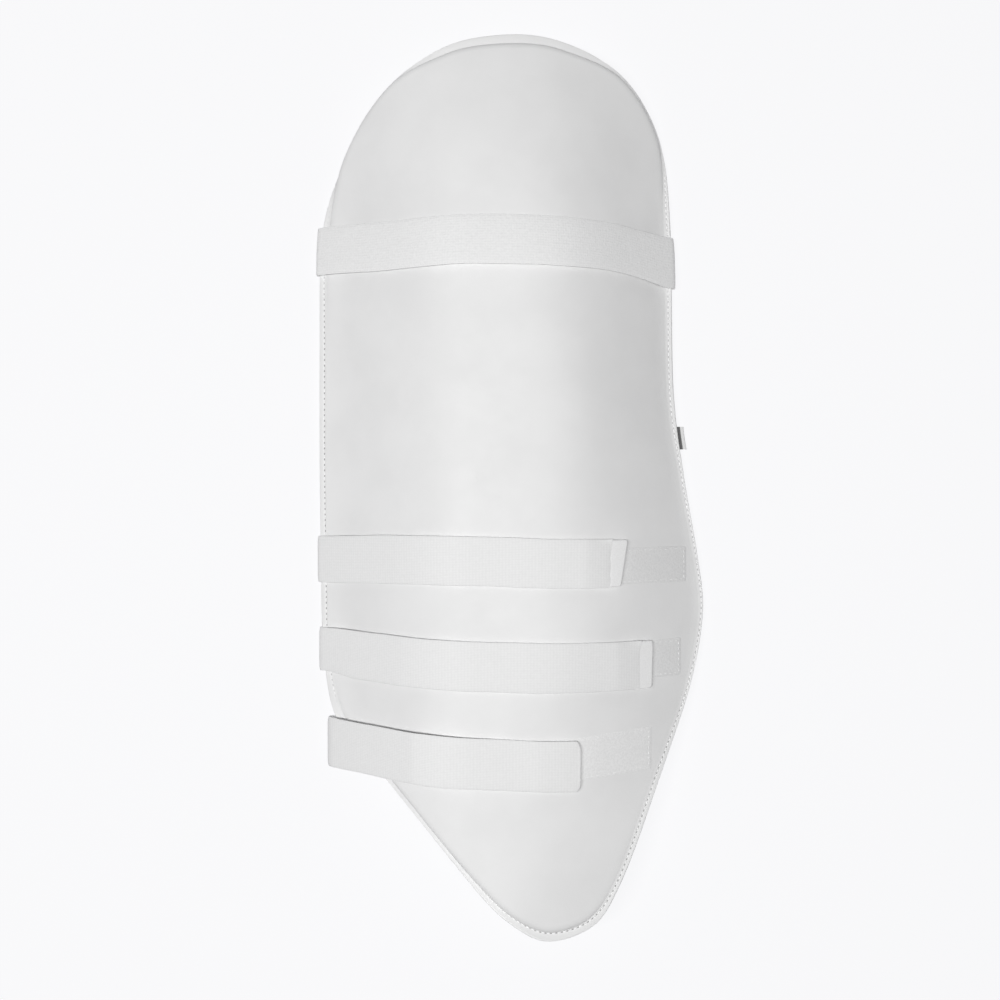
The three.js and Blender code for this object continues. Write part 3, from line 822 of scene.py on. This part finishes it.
def band_ring(point, out, place, from_end, band, end):
    """Points round a band at one place of its middle line."""
    profile = band_profile(band)
    across, thick = profile[:, :1], profile[:, 1:]
    inset, thin, curl = end_shape(from_end, end) if end else (0, 1, 0)
    flare = band.get("flare", 0) * smoothstep((point[0] - FLARE_START) / FLARE_LENGTH)
    pinch = band.get("pinch", 0) * smoothstep((PINCH_START - point[0]) / PINCH_LENGTH)
    half = (band["width"] - pinch) / 2 - inset + flare
    facing_up = max(out[1], 0)
    tilt = band["tilt"] * facing_up
    if end and end["is_sewn_thin"]:
        tilt *= smoothstep(from_end / END_FLAT_LENGTH)
    rise = (thick * thin + 1 - thin) * BAND_THICKNESS / 2
    rise = rise + curl * np.clip(across, 0, 1) ** CURL_POWER + abs(tilt) + tilt * across
    plane = point + out * rise
    across = across[:, 0]
    y = middle_of(band, point[0]) + pinch / 2 + across * half + edge_wave(place, across)
    under = face_height(np.full_like(y, point[0]), y)
    z = plane[:, 1] + (under - under.max()) * facing_up
    return stacked(plane[:, 0], y, z)


def band_parts(line, band, end=None):
    """A woven band along a middle line, with rounded edges and sometimes a free end, and its length."""
    parts = MeshParts()
    line, places = even_line(line)
    along = unit(np.gradient(line, axis=0))
    outward = stacked(-along[:, 1], along[:, 0])
    rings = []
    for point, out, place in zip(line, outward, places):
        ring = band_ring(point, out, place, places[-1] - place, band, end)
        rings.append(parts.add_points(ring))
    across = band_profile(band)[:, 0] * band["width"] / 2 * MM
    sides = len(across)
    for i, (a, b) in enumerate(zip(rings, rings[1:])):
        u0, u1 = places[i] * MM, places[i + 1] * MM
        for s in range(sides):
            t = (s + 1) % sides
            v0, v1 = across[s], across[t]
            parts.add_face([a[s], a[t], b[t], b[s]], [(u0, v0), (u0, v1), (u1, v1), (u1, v0)])
    parts.add_face(rings[0][::-1], [(0, v) for v in across[::-1]])
    parts.add_face(rings[-1], [(places[-1] * MM, v) for v in across])
    return parts, places[-1]


def inner_height(tree, x, y):
    hit = tree.ray_cast(Vector((x, y, BELOW_PAD)), Vector((0, 0, 1)))[0]
    return hit.z if hit else math.inf


def sewn_tail(tree, band, edge_x):
    """The end of a band sewn down on the inner face, from the edge inwards."""
    tail = []
    for run in np.arange(TAIL_START, TAIL_LENGTH + 1, TAIL_STEP):
        x = edge_x - math.copysign(run, edge_x)
        middle = middle_of(band, x)
        half = band["width"] / 2
        lowest = min(inner_height(tree, x, middle + side) for side in (-half, 0, half))
        clearance = (GAP + BAND_THICKNESS / 2) / face_normal(np.array([x]), np.array([middle]))[0, 2]
        tail.append((x, lowest - clearance))
    return np.array(tail)


def top_band_line(shell_cloud, tree):
    """The band across the top turns round both edges and is sewn down behind them."""
    line = taut_line(section_under([shell_cloud], TOP_BAND))
    turn_at = line[:, 0].argmin()
    left, right = line[turn_at, 0], line[:, 0].max()
    below = line[:turn_at]
    near_edge = below[np.abs(below[:, 0]) > min(right, -left) - TAIL_START]
    under_left, under_right = near_edge[near_edge[:, 0] < 0], near_edge[near_edge[:, 0] > 0]
    tail_left, tail_right = (sewn_tail(tree, TOP_BAND, x) for x in (left, right))
    return np.vstack([tail_left[::-1], under_left, line[turn_at:], under_right, tail_right])


def sewn_place(frames, strap):
    """Where a strap is sewn on behind the right edge."""
    right = frames["rim"][SIDE_STEPS:]
    near = np.abs(right[:, 1] - strap["middle"][-1]) < strap["width"] / 2
    return right[near, 0].min() - SEWN_INSET


def lying_line(behind, fold):
    """The line behind the leg, slack on the floor past its fold until it rises to its end."""
    folded = np.nonzero(behind[:, 0] > fold["x"])[0][0]
    share = np.linspace(0, 1, LYING_STEPS + 1)
    x = mix(behind[folded, 0], behind[-1, 0], share)
    z = mix(behind[folded, 1], behind[-1, 1], share**LYING_POWER)
    return np.vstack([behind[:folded], stacked(x, z)])


def leg_strap_line(clouds, strap, end, frames):
    """From the right edge behind the leg, round the left edge and over the face to the free end."""
    section = section_under(clouds, strap)
    edge = sewn_place(frames, strap)
    lowest = clouds[0][:, 2].min()
    fold = strap.get("fold")
    if fold:
        angles = np.arange(0, 2 * math.pi, WRAP_STEP)
        circle = stacked(np.cos(angles), np.sin(angles)) * fold["radius"]
        extra = np.array([fold["x"], lowest + fold["radius"]]) + circle
    else:
        extra = np.array([[section[:, 0].min() + SEWN_INSET, lowest], [edge, lowest]])
    line = taut_line(np.vstack([section, extra]))
    turn_at = line[:, 0].argmin()
    behind = line_until(line[:turn_at][::-1], edge)
    if fold:
        behind = lying_line(behind, fold)
    over = line_until(line[turn_at:], end["x"])
    over[:, 1] += end["lift"] * np.clip(1 - (end["x"] - over[:, 0]) / END_LIFT_LENGTH, 0, None) ** 2
    over[:, 1] += strap["slack"] * looseness(over[:, 0])
    return np.vstack([behind[::-1], over])


def round_inset(from_side, radius):
    """How far an end draws in at some distance from the side of a tape with round corners."""
    into = np.clip(radius - from_side, 0, radius)
    return radius - np.sqrt(radius**2 - into**2)


def fine_edged(length):
    """Shares of a length, close together near both of its ends."""
    edge = np.array(TAPE_EDGE_STEPS)
    inside = np.linspace(edge[-1], length - edge[-1], math.ceil((length - 2 * edge[-1]) / TAPE_STEP) + 1)
    return np.concatenate([edge[:-1], inside, length - edge[-2::-1]]) / length


def tape_parts(tape, middle, levels, feather):
    """A tape on the outer face, with rounded corners and thin edges, between two levels over the face."""
    parts = MeshParts()
    start, height = tape["start"], tape["height"]
    end_top, end_bottom = tape.get("end_top", tape.get("end")), tape.get("end_bottom", tape.get("end"))
    side = fine_edged(height)[:, None]
    share = fine_edged(end_top - start)[None, :]
    inset = round_inset(np.minimum(side, 1 - side) * height, tape.get("round", PATCH_ROUND))
    x = mix(start + inset, mix(end_bottom, end_top, side) - inset, share)
    y = middle(x) + (side - 0.5) * height
    base = face_height(x, y)
    steep = face_normal(x, y)[..., 2]
    ends = np.minimum(share, 1 - share) * (end_top - start)
    from_edge = np.minimum(np.minimum(side, 1 - side) * height, ends)
    swell = np.sqrt(np.clip(1 - (1 - np.clip(from_edge / feather, 0, 1)) ** 2, 0, 1))
    low, high = levels(x)
    layers = []
    for level in (mix(low + THIN_EDGE, high, swell), low):
        z = base + level / steep
        layers.append(parts.add_points(stacked(x, y, z).reshape(-1, 3)).reshape(x.shape))
    u, v = x * MM, (side - 0.5) * height * MM + x * 0
    add_sheet(parts, layers, u, v)
    return parts


def patch_levels(x):
    """A loop patch lies thin on the face."""
    return x * 0, x * 0 + PATCH_THICKNESS


def tab_levels(x, end):
    """Hook tape lies under the strap's end, and past the end it comes up level with the strap."""
    low = PATCH_THICKNESS + GAP
    level_up = (GAP + BAND_THICKNESS - FLUSH) * smoothstep((x - end["x"] + HEM) / HEM)
    return x * 0 + low, low + TAB_THICKNESS + level_up


def patch_stitches(patch, middle):
    """Stitches along the top, right end and bottom of a patch."""
    parts = MeshParts()
    half = patch["height"] / 2 - PATCH_STITCH["inset"]
    right = patch["end"] - PATCH_STITCH["inset"]
    corners = np.array([(patch["start"], half), (right, half), (right, -half), (patch["start"], -half)])
    for (x0, side0), (x1, side1) in zip(corners, corners[1:]):
        count = round(math.hypot(x1 - x0, side1 - side0) / PATCH_STITCH["pitch"])
        for k in range(count):
            shares = (k + 0.5 + STITCH_ALONG * STITCH_LENGTH / 2) / count
            x = mix(x0, x1, shares)
            plan = stacked(x, middle(x) + mix(side0, side1, shares))
            line = point_under(plan, -PATCH_THICKNESS)
            add_stitch(parts, line, face_normal(plan[:, 0], plan[:, 1]), PATCH_STITCH["radius"])
    return parts


def add_sheet(parts, layers, u, v):
    """Faces over, under and round a sheet of two layers of points."""
    top, bottom = layers
    rows, columns = top.shape
    for r in range(rows - 1):
        for c in range(columns - 1):
            loop = ((r, c), (r, c + 1), (r + 1, c + 1), (r + 1, c))
            places = [(u[corner], v[corner]) for corner in loop]
            parts.add_face([top[corner] for corner in loop], places)
            parts.add_face([bottom[corner] for corner in loop[::-1]], places[::-1])
    border = [(0, c) for c in range(columns - 1)] + [(r, columns - 1) for r in range(rows - 1)]
    border += [(rows - 1, c) for c in range(columns - 1, 0, -1)] + [(r, 0) for r in range(rows - 1, 0, -1)]
    for a, b in zip(border, border[1:] + border[:1]):
        places = [(u[corner], v[corner]) for corner in (a, a, b, b)]
        parts.add_face([top[a], bottom[a], bottom[b], top[b]], places)


def tag_line(straight):
    """The tag seen from its end: out along the top, round the fold and back below."""
    bend = (TAG["thickness"] - TAG["tape"]) / 2
    turn = np.linspace(math.pi / 2, -math.pi / 2, TAG_TURN_STEPS)
    runs = np.linspace(0, straight, TAG_STEPS)
    level = np.full(TAG_STEPS - 1, bend)
    x = np.concatenate([runs[:-1], straight + bend * np.cos(turn), runs[-2::-1]])
    return stacked(x, np.concatenate([level, bend * np.sin(turn), -level]))


def tag_parts(frames):
    """A blank tape folded double, caught under the right edge, and its length."""
    parts = MeshParts()
    right = frames["rim"][SIDE_STEPS:]
    nearest = SIDE_STEPS + np.abs(right[:, 1] - TAG["y"]).argmin()
    edge_z = point_under(frames["rim"][nearest], frames["step"][nearest] + EDGE_THICKNESS)[2]
    middle_z = edge_z - GAP - TAG["thickness"] / 2
    straight = TAG["inside"] + TAG["outside"] - TAG["thickness"] / 2
    line = tag_line(straight)
    x, z = line.T
    along = unit(np.gradient(line, axis=0))
    lengths = lengths_along(line)
    side = np.linspace(0, 1, TAG_STEPS)[:, None]
    y = TAG["y"] + (side - 0.5) * TAG["height"] + x * 0
    edge_x = np.interp(y, right[:, 1], right[:, 0])
    wave = TAG_WAVE * np.sin(side * 2 * math.pi + TAG_WAVE_START) * x / straight
    layers = []
    for half in (TAG["tape"] / 2, -TAG["tape"] / 2):
        layer_x = edge_x - TAG["inside"] + x - along[:, 1] * half
        layer_z = middle_z + z + along[:, 0] * half + wave
        points = stacked(layer_x, y, layer_z)
        layers.append(parts.add_points(points.reshape(-1, 3)).reshape(y.shape))
    add_sheet(parts, layers, lengths * MM + side * 0, y * MM)
    return parts, lengths[-1]


def set_inputs(node, values):
    for name, value in values.items():
        node.inputs[name].default_value = value


class Surface:
    """A material, with the nodes that feed its shader."""

    def __init__(self, name, roughness):
        self.material = bpy.data.materials.new(name)
        self.material.use_nodes = True
        self.nodes = self.material.node_tree.nodes
        self.link = self.material.node_tree.links.new
        self.shader = self.nodes["Principled BSDF"]
        set_inputs(self.shader, {"Roughness": roughness, "Specular IOR Level": SPECULAR})

    def feed(self, name, output):
        """Link an output to an input of the shader."""
        self.link(output, self.shader.inputs[name])

    def maths(self, operation, *values):
        """One step of arithmetic on numbers and node outputs."""
        node = self.nodes.new("ShaderNodeMath")
        node.operation = operation
        for socket, value in zip(node.inputs, values):
            if isinstance(value, (int, float)):
                socket.default_value = value
            else:
                self.link(value, socket)
        return node.outputs["Value"]

    def rescale(self, value, span, to_span):
        """A value carried from one span to another, smoothly and without leaving it."""
        node = self.nodes.new("ShaderNodeMapRange")
        node.interpolation_type = "SMOOTHSTEP"
        self.link(value, node.inputs["Value"])
        set_inputs(node, dict(zip(("From Min", "From Max", "To Min", "To Max"), (*span, *to_span))))
        return node.outputs["Result"]

    def texture(self, kind, settings, output):
        """A texture in the pad's own space."""
        node = self.nodes.new(kind)
        set_inputs(node, settings)
        place = self.nodes.new("ShaderNodeTexCoord")
        self.link(place.outputs["Object"], node.inputs["Vector"])
        return node.outputs[output]

    def noise(self, scale, detail):
        return self.texture("ShaderNodeTexNoise", {"Scale": scale, "Detail": detail}, "Fac")

    def places(self):
        """Metres along and across a piece."""
        layer = self.nodes.new("ShaderNodeUVMap")
        layer.uv_map = "places"
        apart = self.nodes.new("ShaderNodeSeparateXYZ")
        self.link(layer.outputs["UV"], apart.inputs["Vector"])
        return apart.outputs["X"], apart.outputs["Y"]

    def bump(self, height, strength, distance):
        node = self.nodes.new("ShaderNodeBump")
        set_inputs(node, {"Strength": strength, "Distance": distance * MM})
        self.link(height, node.inputs["Height"])
        self.feed("Normal", node.outputs["Normal"])


def needle_holes(surface, pitch):
    """1 in the needle holes along the seam and 0 beside them, less where less thread shows."""
    along, off = surface.places()
    maths = surface.maths
    step = maths("DIVIDE", along, pitch * MM)
    from_hole = maths("SUBTRACT", step, maths("ROUND", step))
    lengthwise = maths("MULTIPLY", from_hole, pitch / HOLE_SIZE[0])
    sideways = maths("DIVIDE", off, HOLE_SIZE[1] * MM)
    squares = [maths("MULTIPLY", value, value) for value in (lengthwise, sideways)]
    hole = surface.rescale(maths("ADD", *squares), HOLE_FADE, (1, 0))
    thread = surface.nodes.new("ShaderNodeAttribute")
    thread.attribute_name = "thread"
    return maths("MULTIPLY", hole, thread.outputs["Fac"])


def cover_material(pitch):
    """Smooth white synthetic leather: fine grain, slight mottling, needle holes along the seam with
    painted shade.
    """
    surface = Surface("cover_pu", COVER_ROUGHNESS)
    mottle, gloss, dents = (surface.noise(*COVER_NOISES[name]) for name in ("mottle", "gloss", "dents"))
    hole = needle_holes(surface, pitch)
    tone = surface.rescale(mottle, WIDE_NOISE, COVER_GREYS)
    # Painted shade: the cover is painted darker inside the needle holes, less where less thread shows
    shade = surface.maths("MULTIPLY", hole, HOLE_SHADE)
    surface.feed("Base Color", surface.maths("SUBTRACT", tone, shade))
    rough_span = (COVER_ROUGHNESS - GLOSS_SPREAD, COVER_ROUGHNESS + GLOSS_SPREAD)
    surface.feed("Roughness", surface.rescale(gloss, NARROW_NOISE, rough_span))
    grain = surface.texture("ShaderNodeTexVoronoi", {"Scale": GRAIN_SCALE}, "Distance")
    height = surface.maths("MULTIPLY_ADD", dents, DENT_SHARE, grain)
    surface.bump(surface.maths("SUBTRACT", height, hole), *COVER_BUMP)
    return surface.material


def woven(surface, rib, pick, shift=0):
    """Height of a weave from 0 to 1: ribs along it, crossed by picks that may shift from rib to rib."""
    along, across = surface.places()
    maths = surface.maths
    row = maths("DIVIDE", across, rib * MM)
    ridge = maths("ABSOLUTE", maths("SINE", maths("MULTIPLY", row, math.pi)))
    turn = maths("MULTIPLY", along, 2 * math.pi / (pick * MM))
    if shift:
        turn = maths("MULTIPLY_ADD", maths("FLOOR", row), shift, turn)
    knots = maths("MULTIPLY_ADD", maths("SINE", turn), KNOT_SHARE, 1 - KNOT_SHARE)
    return maths("MULTIPLY", ridge, knots)


def woven_material(name, weave):
    """White woven elastic, with threads of slightly uneven tone."""
    surface = Surface(name, WEAVE_ROUGHNESS)
    uneven = weave["uneven"]
    fuzz = surface.noise(weave["grain"], WEAVE_DETAIL)
    height = surface.maths("MULTIPLY_ADD", fuzz, uneven, woven(surface, weave["rib"], weave["pick"]))
    span = (WIDE_NOISE[0] * uneven, WIDE_NOISE[1] * uneven + 1)
    surface.feed("Base Color", surface.rescale(height, span, weave["greys"]))
    surface.bump(height, *WEAVE_BUMP)
    return surface.material


def tag_material(length):
    """Woven tape, dark where it is sewn in and paler at its fold."""
    surface = Surface("tag_cloth", CLOTH_ROUGHNESS)
    along, _ = surface.places()
    from_fold = surface.maths("ABSOLUTE", surface.maths("SUBTRACT", along, length * MM / 2))
    tone = surface.rescale(from_fold, (TAG["pale"] * MM, (TAG["pale"] + TAG["blend"]) * MM), TAG_GREYS)
    weave = woven(surface, **TAG_WEAVE)
    threads = surface.maths("MULTIPLY_ADD", weave, *TAG_THREADS)
    surface.feed("Base Color", surface.maths("MULTIPLY", tone, threads))
    surface.bump(weave, *WEAVE_BUMP)
    return surface.material


def cloth_material(name, greys, grain, bump):
    """Cloth or thread with a fine uneven surface."""
    surface = Surface(name, CLOTH_ROUGHNESS)
    fuzz = surface.noise(grain, CLOTH_DETAIL)
    surface.feed("Base Color", surface.rescale(fuzz, NARROW_NOISE, greys))
    surface.bump(fuzz, CLOTH_BUMP_STRENGTH, bump)
    return surface.material


def build_shell(frames, thread):
    """The padded shell and the stitches along its seam. Gives its points and a tree of its faces."""
    shell, thread_shares = shell_parts(frames)
    piece = make_piece("pad_shell_cover", shell, cover_material(frames["pitch"]), "cover", "pad_shell")
    set_thread(piece, thread_shares)
    make_piece("edge_stitches", stitch_parts(frames), thread, "cover")
    return np.array(shell.points), BVHTree.FromPolygons(shell.points, shell.faces)


def build_tag(frames):
    """The blank tag at the right seam."""
    tag, length = tag_parts(frames)
    piece = make_piece("tag_fold", tag, tag_material(length), "tag", "seam_tag")


def build_top_band(cloud, tree):
    """The band across the top of the shell."""
    band, length = band_parts(top_band_line(cloud, tree), TOP_BAND)
    weave = woven_material("band_weave", WEAVES["band"])
    piece = make_piece("top_band_weave", band, weave, "elastic", "top_band")


def build_patch(name, thread):
    """A loop patch and its stitches. Gives the patch's points."""
    patch = LOOP_PATCHES[name]

    def middle(x):
        return patch["y"] + patch["rise"] * x

    tape = tape_parts(patch, middle, patch_levels, PATCH_FEATHER)
    # A copy of the loop material for each patch, its greys carrying painted shade or painted light
    loop = cloth_material(f"loop_nap_{name}", patch["greys"], **LOOP_NAP)
    make_piece(f"loop_tape_{name}", tape, loop, "tape", f"loop_patch_{name}")
    make_piece(f"patch_stitches_{name}", patch_stitches(patch, middle), thread, "tape")
    return np.array(tape.points)


def build_tab(name, hook):
    """The hook tape of a strap. Gives its points that lie under the strap."""
    tab, strap, end = HOOK_TABS[name], STRAPS[name], STRAP_ENDS[name]
    tape = tape_parts(tab, lambda x: middle_of(strap, x), lambda x: tab_levels(x, end), TAB_FEATHER)
    make_piece(f"hook_tape_{name}", tape, hook, "tape", f"hook_tab_{name}")
    points = np.array(tape.points)
    return points[points[:, 0] < end["x"] - HEM]


def build_strap(name, clouds, frames, elastic):
    """A leg strap over the pieces that it lies on."""
    strap, end = STRAPS[name], STRAP_ENDS[name]
    strip, length = band_parts(leg_strap_line(clouds, strap, end, frames), strap, end)
    piece = make_piece(f"strap_weave_{name}", strip, elastic, "elastic", f"leg_strap_{name}")


def build_pad():
    """All pieces of the pad."""
    frames = with_run(edge_frames())
    thread = cloth_material("thread", **THREAD)
    hook = cloth_material("hook_tape", **HOOK_TAPE)
    elastic = woven_material("strap_weave", WEAVES["strap"])
    cloud, tree = build_shell(frames, thread)
    build_tag(frames)
    build_top_band(cloud, tree)
    for name in STRAPS:
        patch_cloud = build_patch(name, thread)
        tab_cloud = build_tab(name, hook)
        build_strap(name, [cloud, patch_cloud, tab_cloud], frames, elastic)


def add_floor():
    """Pale floor."""
    bpy.ops.mesh.primitive_plane_add(size=FLOOR_SIZE, location=(0, 0, 0))
    floor = bpy.context.object
    floor.name = "floor"
    surface = Surface("floor_pale", FLOOR_ROUGHNESS)
    glow = {"Emission Color": STAGE_COLOUR, "Emission Strength": STAGE_GLOW}
    set_inputs(surface.shader, {"Base Color": FLOOR_COLOUR, "Specular IOR Level": 0, **glow})
    floor.data.materials.append(surface.material)


def add_light(name, place, size, power):
    """A level softbox."""
    data = bpy.data.lights.new(name, "AREA")
    data.shape = "RECTANGLE"
    data.size, data.size_y = size
    data.energy = power
    add_object(name, data).location = place


def set_world():
    """Faint light from all round, and a backdrop past the floor that is as pale as the floor."""
    world = bpy.data.worlds.new("studio")
    bpy.context.scene.world = world
    world.use_nodes = True
    nodes, link = world.node_tree.nodes, world.node_tree.links.new
    fill, backdrop = nodes["Background"], nodes.new("ShaderNodeBackground")
    set_inputs(fill, {"Color": WHITE, "Strength": WORLD_STRENGTH})
    set_inputs(backdrop, {"Color": STAGE_COLOUR, "Strength": STAGE_GLOW})
    choice = nodes.new("ShaderNodeMixShader")
    link(nodes.new("ShaderNodeLightPath").outputs["Is Camera Ray"], choice.inputs["Fac"])
    link(fill.outputs["Background"], choice.inputs[1])
    link(backdrop.outputs["Background"], choice.inputs[2])
    link(choice.outputs["Shader"], nodes["World Output"].inputs["Surface"])


def add_camera():
    """Camera straight over the pad."""
    data = bpy.data.cameras.new("camera")
    data.lens = CAMERA_LENS
    camera = add_object("camera", data)
    camera.location = (np.array(CAMERA_PLACE) + SHIFT) * MM
    bpy.context.scene.camera = camera


def set_stage():
    """Floor, surroundings, light and camera."""
    add_floor()
    set_world()
    add_light("softbox", *SOFTBOX)
    add_camera()
    bpy.context.scene.view_settings.view_transform = "Standard"


build_pad()
set_stage()
